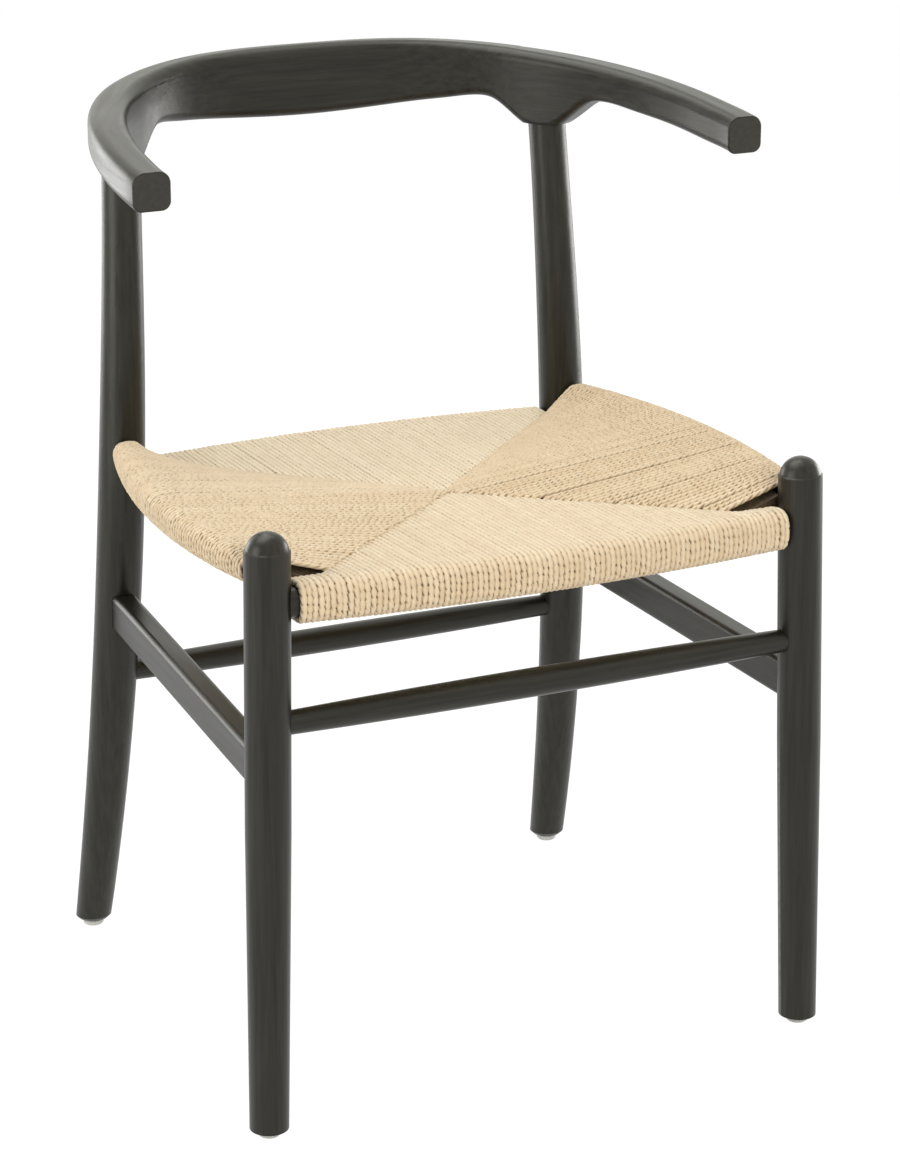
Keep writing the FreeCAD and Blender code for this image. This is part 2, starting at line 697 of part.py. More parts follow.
def dowels(name, place, grow):
    """Two rods across a glue joint on the left half of the rail, one above the other."""
    parameter = rail_line.parameterAtDistance(-place, rail_centre)
    top, along = rail_line.value(parameter), rail_line.tangent(parameter)[0]
    depth = rail_depth(place)
    length = f"dowel_length + 2 * ({grow})"
    rods = []
    for side in (-1, 1):
        middle = top - UP * depth * (1 + side * DOWEL_SPREAD_SHARE) / 2
        start = middle - along * size(length) / 2
        rods.append(rod(name, f"dowel_dia / 2 + {grow}", length, start, along))
    return rods


def top_rail():
    """Back rest, corner and arm, with their dowel holes, the corner also with its mortise."""
    whole = Part.makeLoft([rail_section(place) for place in rail_places()], True, False)
    past_back, past_arm = beyond(size("back_seam")), beyond(size("arm_seam"))
    side = whole.common(past_back)
    middle = whole.cut(past_back).cut(past_back.mirror(vector(0, 0), vector(1, 0)))
    back_holes = dowels("back_dowel_hole", size("back_seam"), "fit_gap")
    arm_holes = dowels("arm_dowel_hole", size("arm_seam"), "fit_gap")
    post = point(rear_axis(REAR_TOP_Z))
    trim = rod("flare_trim", "rear_top_dia", "post_flare", post - UP * size("post_flare"), UP)
    below, length = post - UP * size("cut_overrun"), "cut_overrun + post_tenon_length + fit_gap"
    mortise = rod("mortise", "post_tenon_dia / 2 + fit_gap", length, below, UP)
    back = carve(rail_segment("back_blank", middle), back_holes + [mirror(hole) for hole in back_holes])
    corner_tools = back_holes + arm_holes + [trim, mortise]
    corner = carve(rail_segment("corner_blank", side.cut(past_arm)), corner_tools)
    sawn_arm = side.common(past_arm)
    end_face = min(sawn_arm.Faces, key=lambda part: part.CenterOfMass.y)
    eased_arm = sawn_arm.makeFillet(size("arm_end_round"), end_face.Edges)
    return back, corner, carve(rail_segment("arm_blank", eased_arm), arm_holes)


back, corner, arm = top_rail()
node(back, "back_rest")
left_and_right(corner, "{}_corner")
left_and_right(arm, "{}_arm")
pegs = dowels("back_dowel", size("back_seam"), "0") + dowels("arm_dowel", size("arm_seam"), "0")
node(group(pegs + [mirror(peg) for peg in pegs]), "rail_dowels")


# Woven seat: cord round each rail, and four sloping panels that meet at the middle of the weave

def face(points):
    return Part.Face(Part.makePolygon(points + points[:1]))


RAIL_HEIGHTS = {"front": "seat_rail_z", "rear": REAR_RAIL_Z, "side": SIDE_RAIL_Z}


def crown(key, part, side):
    """Height of a panel on a rail's wrap, over the rail (side 1) or under it (side -1)."""
    rise = size(f"{key}_rail_{part}_height / 2 + cord_layer - pad_sink")
    return size(RAIL_HEIGHTS[key]) + side * rise


def bowed_middle(key, side):
    """Middle of a panel's outer edge, on the crown of a wrap."""
    span = SEAT_RAILS[key]
    place = span.middle - span.across * size(f"{key}_rail_bow")
    return vector(place.x, place.y, crown(key, "mid", side))


def corner_points(key, side, inward, middle):
    """Panel points round a left leg: on its cross rail, beside the leg, and on its side rail."""
    axis, dia = (front_axis, "front_leg_dia") if key == "front" else (rear_axis, "rear_leg_dia")
    leg, at_side = point(axis(RAIL_HEIGHTS[key])), point(axis(SIDE_RAIL_Z))
    clear = size(f"{dia} / 2 + wrap_gap")
    edge, notch_y = crown(key, "end", side), leg.y + inward * clear
    notch_z = blend(edge, middle.z, (notch_y - leg.y) / (middle.y - leg.y))
    return [
        vector(leg.x + clear, leg.y, edge), vector(leg.x + clear, notch_y, notch_z),
        vector(at_side.x, notch_y, crown("side", "end", side)),
    ]


def panel_ring(side):
    """Outer points of the upper (side 1) or lower (side -1) panels, and the point where the panels meet."""
    top = size("seat_rail_z + front_rail_mid_height / 2 + cord_layer - weave_drop")
    middle = vector(0, size("weave_y"), top if side > 0 else top - size("weave_thick"))
    left = corner_points("front", side, 1, middle) + [bowed_middle("side", side)]
    left += reversed(corner_points("rear", side, -1, middle))
    right = [vector(-p.x, p.y, p.z) for p in reversed(left)]
    return [bowed_middle("front", side)] + left + [bowed_middle("rear", side)] + right, middle


def panel_block():
    """Closed block between the upper and the lower panels."""
    (top, top_middle), (low, low_middle) = panel_ring(1), panel_ring(-1)
    faces = []
    for i in range(len(top)):
        j = (i + 1) % len(top)
        faces += [face([top[i], top[j], top_middle]), face([low[i], low[j], low_middle])]
        faces.append(face([top[i], top[j], low[j], low[i]]))
    return Part.Solid(Part.makeShell(faces))


def leg_clearance(axis, dia):
    """Space round a left leg that the cord leaves free."""
    low = point(axis(f"{REAR_RAIL_Z} - 2 * front_rail_mid_height"))
    high = point(axis(f"{SIDE_RAIL_Z} + 2 * front_rail_mid_height"))
    length = "side_rail_rise + rear_rail_drop + 4 * front_rail_mid_height"
    return rod("leg_clearance", f"{dia} / 2 + wrap_gap", length, low, high - low)


def tack_clearance(key):
    face_middle, outward = tack_seat(key)
    length = "tack_length + tack_head_height + fit_gap + soft_gap"
    start = face_middle - outward * size("tack_length")
    return rod("tack_clearance", "tack_head_dia / 2 + soft_gap", length, start, outward)


def woven_seat():
    panels = doc.addObject("Part::Feature", "panels")
    panels.Shape = panel_block()
    wraps = {key: seat_rail_bar(key, "cord_layer") for key in SEAT_RAILS}
    spaces = {key: [seat_rail_bar(key, "soft_gap"), tack_clearance(key)] for key in SEAT_RAILS}
    legs = [leg_clearance(front_axis, "front_leg_dia"), leg_clearance(rear_axis, "rear_leg_dia")]
    left = spaces["side"] + legs
    whole = fuse([panels, *wraps.values(), mirror(wraps["side"])])
    return carve(whole, spaces["front"] + spaces["rear"] + left + [mirror(space) for space in left])


node(woven_seat(), "woven_seat")


# Checks, then one file for each piece

doc.recompute()
for item in doc.Objects:
    if "Invalid" in item.State or "Error" in item.State:
        raise RuntimeError(f"{item.Name} ({item.Label}) failed: {item.State}")
for name, item in nodes.items():
    if item.Shape.isNull() or not item.Shape.isValid() or not item.Shape.Solids:
        raise RuntimeError(f"{name} has no valid solid")
for name, item in nodes.items():
    item.Shape.exportStep(f"parts/{name}.step")
    box = item.Shape.BoundBox
    print(f"{name}: {len(item.Shape.Solids)} solids, x {box.XMin:.1f} to {box.XMax:.1f}, "
          f"y {box.YMin:.1f} to {box.YMax:.1f}, z {box.ZMin:.1f} to {box.ZMax:.1f}")
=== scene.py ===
import math
import random
from dataclasses import dataclass

import bpy
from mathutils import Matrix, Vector, noise


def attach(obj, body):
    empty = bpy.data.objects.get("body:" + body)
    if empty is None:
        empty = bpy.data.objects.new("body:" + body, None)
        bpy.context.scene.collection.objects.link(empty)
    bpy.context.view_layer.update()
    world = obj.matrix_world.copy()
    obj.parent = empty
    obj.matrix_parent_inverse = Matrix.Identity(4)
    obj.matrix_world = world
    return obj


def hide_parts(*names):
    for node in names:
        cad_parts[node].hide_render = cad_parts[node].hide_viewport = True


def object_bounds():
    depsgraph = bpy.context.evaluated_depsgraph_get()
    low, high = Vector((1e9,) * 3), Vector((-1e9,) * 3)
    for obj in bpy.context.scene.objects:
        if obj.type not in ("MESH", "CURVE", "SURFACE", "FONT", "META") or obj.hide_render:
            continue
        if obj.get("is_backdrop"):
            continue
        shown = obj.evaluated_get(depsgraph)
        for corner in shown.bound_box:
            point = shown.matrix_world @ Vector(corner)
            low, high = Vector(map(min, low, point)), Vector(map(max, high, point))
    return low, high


# Dining armchair: black turned wood and a seat woven from paper cord.
# Metres, +Z up. The chair faces -Y, and the origin is on the floor at the middle of its plan.

SEED = 11

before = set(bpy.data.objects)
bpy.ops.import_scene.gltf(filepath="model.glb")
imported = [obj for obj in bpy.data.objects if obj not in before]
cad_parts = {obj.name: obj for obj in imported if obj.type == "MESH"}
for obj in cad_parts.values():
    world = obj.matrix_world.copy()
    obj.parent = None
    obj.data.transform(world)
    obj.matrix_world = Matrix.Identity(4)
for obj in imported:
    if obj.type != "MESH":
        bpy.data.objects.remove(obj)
cad_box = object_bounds()
dice = random.Random(SEED)

# Camera, as fitted to the photograph of 900 by 1176 pixels
IMAGE_HEIGHT = 1176
FOCAL_PIXELS = 3418
AXIS_OFFSET_PIXELS = (15.1, -0.5)   # middle of the image, right of and below the optical axis
SENSOR = 36                         # height in millimetres
CAMERA_PLACE = Vector((-1.1233, -2.4044, 1.2398))
CAMERA_TARGET = Vector((0, -0.027, 0.3473))

# Woven seat: where the four panels meet, and where the seams between them end on the right
MEET_Y = -0.049
FRONT_CORNER = Vector((0.176, -0.203))
REAR_CORNER = Vector((0.1775, 0.125))
MEET_HEIGHTS = (0.4356, 0.4166)     # of the upper and the lower face
FRONT_HEIGHTS = (0.4395, 0.4110)
REAR_HEIGHTS = (0.4335, 0.4080)

# Cord: three plies, each with one corner of a ring in the groove beside it and two on its crest
CORD_RADIUS = 0.0022
CORD_PITCH = 0.00445
CORD_LAYER = 0.0045       # thickness that the cord adds to a rail
CORD_PLIES = 3
PLY_CORNERS = 3
GIRTH_SHARES = (0.95, 1.02)   # least and greatest thickness of a strand
TINT_SPREAD = 0.12        # how much paler or darker than its panel a strand is
TOP_GROOVE_SHARE = 0.05   # depth of the grooves between plies, of the radius, on a strand's face
SLIT_FULL_SHARE = 0.85    # how far to the side, of the radius, a groove has its full depth
LOOSE_WAVES = 110         # waves per metre in which the weave is looser and tighter
LOOSE_SHARES = (0.45, 1.05)
TWIST_PITCH = 0.0180      # length in which a ply goes once round
TWIST_SPREAD_SHARE = 0.2  # how much that length differs between strands
CORD_STEP = 0.0016        # spacing of the rings along a strand
SECTION_STEPS = 40        # corners of a rail's section, which the cord bends round
SECTION_POWER = 2.7       # 2 is an ellipse, more is squarer
HOOK_REACH = 0.0030       # a strand that ends over its neighbours bends down this far past the seam
HOOK_DROP = 0.0075
HOOK_RISE = 0.0016        # and lies this much higher than they do
HOOK_SHARES = ((1, 1), (0.8, 0.35), (0.2, 0.04), (-0.6, 0))   # of the reach and the drop, along the bend
DIVE_LEAD = 0.0030        # a strand that ends under its neighbours starts to dip this far before the seam
DIVE_REACH = 0.0085       # and runs this far past it
DIVE_DROP = 0.0060
DIVE_SEAM_SHARE = 0.5     # of the drop, at the seam
PINCH_SHARE = 0.34        # how much thinner it is pulled there
PINCH_REACH = 0.0060
STRAY = 0.00028           # how far strands wander from their even places
PARTING_REACH = 0.012     # how far it is felt where strands have been pushed apart
DRIFT_WAVES = 25          # waves per metre in which a strand wanders
DRIFT_SEEDS = 50          # range of the numbers that make each strand wander in its own way


def lerp(start, stop, share):
    return start + (stop - start) * share


def clamped(value):
    return min(max(value, 0), 1)


# Node graphs

class Graph:
    """Short calls for building a node tree."""

    def __init__(self, tree):
        self.tree = tree
        tree.nodes.clear()

    def node(self, kind, inputs=None, **settings):
        item = self.tree.nodes.new(kind)
        for key, value in settings.items():
            setattr(item, key, value)
        for key, value in (inputs or {}).items():
            self.feed(item.inputs[key], value)
        return item

    def feed(self, socket, value):
        if isinstance(value, bpy.types.NodeSocket):
            self.tree.links.new(value, socket)
        else:
            socket.default_value = value

    def place(self):
        """Place on the object, in metres."""
        return self.node("ShaderNodeTexCoord").outputs["Object"]

    def math(self, operation, *values):
        return self.node("ShaderNodeMath", dict(enumerate(values)), operation=operation).outputs[0]

    def dot(self, first, second):
        item = self.node("ShaderNodeVectorMath", {0: first, 1: second}, operation="DOT_PRODUCT")
        return item.outputs["Value"]

    def noise(self, vector, scale, detail, rough):
        inputs = {"Vector": vector, "Scale": scale, "Detail": detail, "Roughness": rough}
        return self.node("ShaderNodeTexNoise", inputs).outputs["Fac"]

    def remap(self, value, low, high, to_low, to_high):
        inputs = {"Value": value, "From Min": low, "From Max": high, "To Min": to_low, "To Max": to_high}
        return self.node("ShaderNodeMapRange", inputs).outputs["Result"]

    def mix(self, share, first, second):
        item = self.node("ShaderNodeMix", data_type="RGBA")
        sockets = [socket for socket in item.inputs if socket.enabled]
        for socket, value in zip(sockets, (share, first, second)):
            self.feed(socket, value)
        return next(socket for socket in item.outputs if socket.enabled)

    def bump(self, height, distance, strength=1.0):
        inputs = {"Height": height, "Distance": distance, "Strength": strength}
        return self.node("ShaderNodeBump", inputs).outputs["Normal"]

    def surface(self, **inputs):
        shader = self.node("ShaderNodeBsdfPrincipled", {k.replace("_", " "): v for k, v in inputs.items()})
        self.node("ShaderNodeOutputMaterial", {"Surface": shader.outputs[0]})


def new_graph(name):
    material = bpy.data.materials.new(name)
    material.use_nodes = True
    return material, Graph(material.node_tree)


# Wood. A noise is given as its scale, detail and roughness, and levels are those between which it works.

GRAIN_STRETCH = 26        # how many times longer than wide the grain's streaks are
STREAKS = (260, 5, 0.6)
PORES = (1500, 2, 0.5)
BANDS = (95, 2, 0.6)
SHADE_SHARE = 0.6         # of the bands and of the streaks in the shade
SHADE_LEVELS = (0.40, 0.80)
STREAK_LEVELS = (0.36, 0.64)
SAWN_LEVELS = (0.93, 0.98)    # cosine to the grain at which a face counts as sawn across it
TONE_RANGE = 0.8          # how far the shade changes the colour, where 1 is from dark to light
WOOD_DARK = (0.0034, 0.0032, 0.0020, 1)
WOOD_LIGHT = (0.0100, 0.0095, 0.0062, 1)
WOOD_END = (0.020, 0.0193, 0.0155, 1)      # sawn across the grain
WOOD_SHEEN = (1.0, 0.985, 0.91, 1)
WOOD_ROUGHNESS = (0.29, 0.42)
WOOD_SPECULAR = (0.36, 0.46)
BAND_RELIEF_SHARE = 0.8   # of the streaks' relief
PORE_RELIEF_SHARE = 0.6
GRAIN_DEPTH = 0.00018
GRAIN_STRENGTH = 0.5


def black_wood(name, grain, tone):
    """Black satin stain, with the grain running along a direction."""
    material, graph = new_graph(name)
    place = graph.place()
    shrink = graph.math("MULTIPLY", graph.dot(place, grain), 1 - 1 / GRAIN_STRETCH)
    excess = graph.node("ShaderNodeVectorMath", {0: grain, "Scale": shrink}, operation="SCALE").outputs[0]
    fibre = graph.node("ShaderNodeVectorMath", {0: place, 1: excess}, operation="SUBTRACT").outputs[0]
    streaks, pores, bands = (graph.noise(fibre, *texture) for texture in (STREAKS, PORES, BANDS))
    shade = graph.math("MULTIPLY_ADD", bands, SHADE_SHARE, graph.math("MULTIPLY", streaks, SHADE_SHARE))
    colour = graph.mix(graph.remap(shade, *SHADE_LEVELS, tone, TONE_RANGE + tone), WOOD_DARK, WOOD_LIGHT)
    normal = graph.node("ShaderNodeNewGeometry").outputs["Normal"]
    sawn = graph.remap(graph.math("ABSOLUTE", graph.dot(normal, grain)), *SAWN_LEVELS, 0, 1)
    colour = graph.mix(sawn, colour, WOOD_END)
    relief = graph.math("MULTIPLY_ADD", bands, BAND_RELIEF_SHARE, streaks)
    relief = graph.math("MULTIPLY_ADD", pores, PORE_RELIEF_SHARE, relief)
    graph.surface(
        Base_Color=colour, Roughness=graph.remap(shade, *SHADE_LEVELS, *WOOD_ROUGHNESS),
        Normal=graph.bump(relief, GRAIN_DEPTH, GRAIN_STRENGTH), Specular_Tint=WOOD_SHEEN,
        Specular_IOR_Level=graph.remap(streaks, *STREAK_LEVELS, *WOOD_SPECULAR),
    )
    return material


# Grain of each wooden node, and how much lighter it is than the darkest
WOOD_GRAINS = {
    "back_rest": ((1, 0, 0), 0.10),
    "left_corner": ((0.50, 0.866, 0), 0.16),
    "right_corner": ((-0.50, 0.866, 0), 0.16),
    "left_arm": ((0.08, 0.997, 0), 0.08),
    "right_arm": ((-0.08, 0.997, 0), 0.08),
    "front_stretcher": ((1, 0, 0), 0.10),
    "rear_stretcher": ((1, 0, 0), 0.12),
    "left_side_stretcher": ((0, 1, 0), 0.14),
    "right_side_stretcher": ((0, 1, 0), 0.10),
    "front_seat_rail": ((1, 0, 0), 0.05),
    "rear_seat_rail": ((1, 0, 0), 0.05),
    "left_seat_rail": ((0, 1, 0), 0.05),
    "right_seat_rail": ((0, 1, 0), 0.05),
    "front_left_leg": ((0, 0, 1), 0.08),
    "front_right_leg": ((0, 0, 1), 0.12),
    "rear_left_leg": ((0, 0, 1), 0.12),
    "rear_right_leg": ((0, 0, 1), 0.08),
}


def dress(node, material):
    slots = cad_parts[node].data.materials
    slots.clear()
    slots.append(material)


for node, (grain, tone) in WOOD_GRAINS.items():
    dress(node, black_wood(f"black_wood_{node}", grain, tone))


# Glides, nails, tacks and dowels

ROUGH_LEVELS = (0.3, 0.7)


def plain(name, texture, levels, colours, rough, depth, metallic=0.0):
    """Two colours mixed by one noise, which is also the relief. rough is one value, or one for each."""
    material, graph = new_graph(name)
    mottle = graph.noise(graph.place(), *texture)
    if isinstance(rough, tuple):
        rough = graph.remap(mottle, *ROUGH_LEVELS, *rough)
    graph.surface(
        Base_Color=graph.mix(graph.remap(mottle, *levels, 0, 1), *colours), Metallic=metallic,
        Roughness=rough, Normal=graph.bump(mottle, depth),
    )
    return material


# Off-white moulded plastic, a little scuffed
plastic = plain("glide_plastic", texture=(700, 4, 0.7), levels=(0.35, 0.75), rough=(0.38, 0.6), depth=0.0001,
                colours=((0.61, 0.60, 0.57, 1), (0.50, 0.49, 0.45, 1)))
# Drawn steel with fine scratches
steel = plain("wire_steel", texture=(1800, 3, 0.6), levels=(0, 1), rough=(0.28, 0.5), depth=0.00005,
              metallic=1.0, colours=((0.62, 0.62, 0.60, 1), (0.42, 0.41, 0.40, 1)))
# Pale dowel wood with short flecks
beech = plain("bare_beech", texture=(900, 4, 0.6), levels=(0.4, 0.7), rough=0.6, depth=0.0001,
              colours=((0.62, 0.47, 0.31, 1), (0.42, 0.29, 0.17, 1)))
# Brown folded paper inside the seat, seen only through gaps, coloured almost black as painted shade in those
# gaps
stuffing_paper_painted_shade = plain("stuffing_paper_painted_shade", texture=(320, 4, 0.6), levels=(0.35, 0.7), rough=0.85, depth=0.0008,
                       colours=((0.035, 0.023, 0.012, 1), (0.085, 0.058, 0.030, 1)))

for node in ("front_left_glide", "front_right_glide", "rear_left_glide", "rear_right_glide"):
    dress(node, plastic)
for node in ("glide_nails", "cord_tacks"):
    dress(node, steel)
dress("rail_dowels", beech)


# Paper cord

CREASES = (2600, 3, 0.6)
BLOTCHES = (85, 3, 0.6)
BLOTCH_SHARE = 0.5        # of the blotches and of the painted shade with paleness in the tone
TINT_AND_SHADE_SHARE = 0.75
TONE_LEVELS = (0.25, 1.0)
GROOVE_LEVELS = (0.09, 0.38)
GROOVE_SHADE_SHARE = 0.9   # how much of the grooves' painted shade a deep groove has
# The palest cord and a darker one. Blotches and painted shade of the panels and their rolls move the colour
# towards the darker.
CORD_LIGHT = (0.74, 0.63, 0.46, 1)
CORD_SHADE = (0.60, 0.455, 0.285, 1)
# Painted shade in the grooves between plies and between strands
CORD_GROOVE_SHADE = (0.25, 0.16, 0.078, 1)
CORD_ROUGHNESS = (0.62, 0.8)
CORD_SPECULAR = 0.2
CREASE_RELIEF_SHARE = 0.3     # of the grooves' relief
CREASE_DEPTH = 0.0004
CREASE_STRENGTH = 0.7


def paper_cord():
    """Twisted paper cord. Its mesh gives the depth of the grooves, which are painted darker as shade, and for
    each strand its own paleness together with painted shade for how light falls on its panel and on the
    outside of the rail.
    """
    material, graph = new_graph("paper_cord")
    groove = graph.node("ShaderNodeAttribute", attribute_name="groove").outputs["Fac"]
    tint_and_painted_shade = graph.node("ShaderNodeAttribute", attribute_name="tint_and_painted_shade").outputs["Fac"]
    place = graph.place()
    creases, blotches = (graph.noise(place, *texture) for texture in (CREASES, BLOTCHES))
    # The tone adds random blotches to the painted shade of the panel and its roll, and to each strand's own
    # random paleness.
    tone = graph.math("MULTIPLY_ADD", blotches, BLOTCH_SHARE, graph.math("MULTIPLY", tint_and_painted_shade, TINT_AND_SHADE_SHARE))
    colour = graph.mix(graph.remap(tone, *TONE_LEVELS, 0, 1), CORD_LIGHT, CORD_SHADE)
    # Deep grooves are painted darker, as the shade in them
    colour = graph.mix(graph.remap(groove, *GROOVE_LEVELS, 0, GROOVE_SHADE_SHARE), colour, CORD_GROOVE_SHADE)
    relief = graph.math("SUBTRACT", graph.math("MULTIPLY", creases, CREASE_RELIEF_SHARE), groove)
    graph.surface(
        Base_Color=colour, Roughness=graph.remap(creases, *ROUGH_LEVELS, *CORD_ROUGHNESS),
        Normal=graph.bump(relief, CREASE_DEPTH, CREASE_STRENGTH), Specular_IOR_Level=CORD_SPECULAR,
    )
    return material


# Woven seat

@dataclass
class Panel:
    """Strands that wrap one seat rail and run to the seams on both faces of the seat.

    A strand lies in an upright plane at one station along the rail. A point in that plane is given by its
    distance out from the middle of the chair and by its height.
    """

    name: str
    outward: Vector     # plan direction from the middle of the chair to the rail
    lateral: Vector     # plan direction along the rail
    chord: tuple        # ends of the rail's middle line, as station and distance out
    height: float       # of the rail's middle line
    bow: float          # how far the middle of the rail stands out from the chord
    end_half: tuple     # half the rail's thickness and height at its ends
    mid_half: tuple     # and in its middle
    ends: tuple         # stations of the first and the last strand
    tint_and_painted_shade: float         # painted shade of the panel, for how light falls on its side: how much darker the cord is than the palest
    roll_painted_shade: float    # painted shade: how much darker still on the outside of the rail
    girth: float        # thickness of the cord where it is pressed against its neighbours, where 1 is round
    slit: tuple         # how far to the side grooves start to deepen, and their depth there, of the radius
    partings: tuple     # station and width of each place where strands have been pushed apart

    @property
    def crosses(self):
        """Whether the strands run from front to rear, and end under the others on the upper face."""
        return abs(self.outward.x) < abs(self.outward.y)

    def point(self, station, out, height):
        plan = self.outward * out + self.lateral * station
        return Vector((plan.x, plan.y, height))

    def rail(self, station):
        """Middle of the wrapped rail at a station, and half its thickness and height to the cord's middle."""
        (low, low_out), (high, high_out) = self.chord
        share = (station - low) / (high - low)
        swell = 4 * share * (1 - share)
        half = [lerp(end, mid, swell) + CORD_LAYER / 2 for end, mid in zip(self.end_half, self.mid_half)]
        return lerp(low_out, high_out, share) + self.bow * swell, half

    def section(self, station):
        """Convex outline that the cord's middle line follows, from the rail's inside round over its top."""
        out, (thick, high) = self.rail(station)
        points = []
        for step in range(SECTION_STEPS):
            angle = math.pi - 2 * math.pi * step / SECTION_STEPS
            c, s = math.cos(angle), math.sin(angle)
            x = math.copysign(abs(c) ** (2 / SECTION_POWER), c)
            z = math.copysign(abs(s) ** (2 / SECTION_POWER), s)
            points.append((out + thick * x, self.height + high * z))
        return points

    def corner(self, station):
        """Where the seam at a station ends, and the heights of the upper and lower face there."""
        front = self.outward.y < 0 if self.crosses else station < MEET_Y
        return (FRONT_CORNER, FRONT_HEIGHTS) if front else (REAR_CORNER, REAR_HEIGHTS)

    def seam(self, station):
        """Distance out of the seam at a station, and heights of the upper and lower strands there."""
        corner, heights = self.corner(station)
        if self.crosses:
            share = min(abs(station) / corner.x, 1)
            out = lerp(MEET_Y, corner.y, share) * self.outward.y
        else:
            share = clamped((station - MEET_Y) / (corner.y - MEET_Y))
            out = corner.x * share
        top, low = (lerp(start, stop, share) for start, stop in zip(MEET_HEIGHTS, heights))
        return out, top - CORD_RADIUS, low + CORD_RADIUS

    def seam_stations(self):
        """Stations where the panel's seams start, meet and end."""
        if self.crosses:
            corner, _ = self.corner(0)
            return -corner.x, 0, corner.x
        return FRONT_CORNER.y, MEET_Y, REAR_CORNER.y

    def inner_end(self, out, height, up, over):
        """Points from a strand's hidden end to the seam. up is 1 on the upper face and -1 on the lower."""
        if over:
            top = height + up * HOOK_RISE
            return [(out - HOOK_REACH * reach, top - up * HOOK_DROP * drop) for reach, drop in HOOK_SHARES]
        return [
            (out - DIVE_REACH, height - up * DIVE_DROP),
            (out, height - up * DIVE_DROP * DIVE_SEAM_SHARE),
            (out + DIVE_LEAD, height),
        ]

    def profile(self, station):
        """Taut line of one strand, from its upper end round the rail to its lower end."""
        out, top, low = self.seam(station)
        section = self.section(station)
        upper = self.inner_end(out, top, 1, not self.crosses)
        lower = self.inner_end(out, low, -1, self.crosses)
        start = max(range(SECTION_STEPS // 2), key=lambda i: slope(upper[-1], section[i]))
        stop = min(range(SECTION_STEPS // 2, SECTION_STEPS), key=lambda i: slope(lower[-1], section[i]))
        return evenly(upper + section[start:stop + 1] + lower[::-1], CORD_STEP)

    def stations(self):
        """Places of the strands along the rail, pushed apart where the weave has a parting."""
        low, high = self.ends
        count = round((high - low) / CORD_PITCH) + 1
        for i in range(count):
            even = lerp(low, high, i / (count - 1))
            pushes = (math.copysign(width / 2, even - place) * math.exp(-abs(even - place) / PARTING_REACH)
                      for place, width in self.partings)
            yield even + sum(pushes) + dice.uniform(-STRAY, STRAY)

    def thickness(self, station, out, height):
        """Share of its full thickness that a strand has at a point, where it may be pulled under others."""
        seam, top, low = self.seam(station)
        if (height > (top + low) / 2) != self.crosses:
            return 1
        return 1 - PINCH_SHARE * math.exp(-max(out - seam, 0) / PINCH_REACH)


def slope(start, stop):
    return math.atan2(stop[1] - start[1], stop[0] - start[0])


def evenly(points, step):
    """Points an even step apart along a line through the given points."""
    lengths = [math.dist(a, b) for a, b in zip(points, points[1:])]
    count = round(sum(lengths) / step)
    spacing = sum(lengths) / count
    placed, leg, passed = [], 0, 0.0
    for i in range(count + 1):
        while leg < len(lengths) - 1 and passed + lengths[leg] < i * spacing:
            passed += lengths[leg]
            leg += 1
        share = min((i * spacing - passed) / lengths[leg], 1)
        placed.append(tuple(lerp(a, b, share) for a, b in zip(points[leg], points[leg + 1])))
    return placed


def tube_faces(first, last, sides):
    """Faces of a closed tube, whose first and last rings start at the given points."""
    faces = []
    for ring in range(first, last, sides):
        for side in range(sides):
            a, b = ring + side, ring + (side + 1) % sides
            faces.append((a, b, b + sides, a + sides))
    faces.append(tuple(range(first + sides - 1, first - 1, -1)))
    faces.append(tuple(range(last, last + sides)))
    return faces


class Strands:
    """One mesh of many cord strands."""

    def __init__(self):
        self.points, self.faces, self.groove, self.tint_and_painted_shade = [], [], [], []

    def add(self, path, radii, tints_and_painted_shade, across, slit):
        """A twisted tube along a path that lies in the plane square to across."""
        sides = CORD_PLIES * PLY_CORNERS
        slit_start, slit_depth = slit
        first, lay = len(self.points), dice.uniform(0, 2 * math.pi)
        twist = 2 * math.pi / TWIST_PITCH * dice.uniform(1 - TWIST_SPREAD_SHARE, 1 + TWIST_SPREAD_SHARE)
        for i, place in enumerate(path):
            before, after = path[max(i - 1, 0)], path[min(i + 1, len(path) - 1)]
            lay += twist * (place - before).length
            normal = across.cross(after - before).normalized()
            loose = lerp(*LOOSE_SHARES, clamped(0.5 + noise.noise(place * LOOSE_WAVES)))
            for side in range(sides):
                angle = lay + 2 * math.pi * side / sides
                spoke = across * math.cos(angle) + normal * math.sin(angle)
                beside = clamped((abs(math.cos(angle)) - slit_start) / (SLIT_FULL_SHARE - slit_start))
                depth = 0 if side % PLY_CORNERS else lerp(TOP_GROOVE_SHARE, slit_depth, beside * loose)
                self.points.append(place + spoke * radii[i] * (1 - depth))
                self.groove.append(depth)
                self.tint_and_painted_shade.append(tints_and_painted_shade[i])
        self.faces += tube_faces(first, len(self.points) - sides, sides)

    def piece(self, name, material):
        mesh = bpy.data.meshes.new(name)
        mesh.from_pydata(self.points, [], self.faces)
        mesh.polygons.foreach_set("use_smooth", [True] * len(self.faces))
        # Groove depth, and the painted shade with paleness, for the cord's material
        for key, values in (("groove", self.groove), ("tint_and_painted_shade", self.tint_and_painted_shade)):
            mesh.attributes.new(key, "FLOAT", "POINT").data.foreach_set("value", values)
        mesh.materials.append(material)
        return place_piece(name, mesh)


def place_piece(name, mesh):
    piece = bpy.data.objects.new(name, mesh)
    bpy.context.scene.collection.objects.link(piece)
    return piece


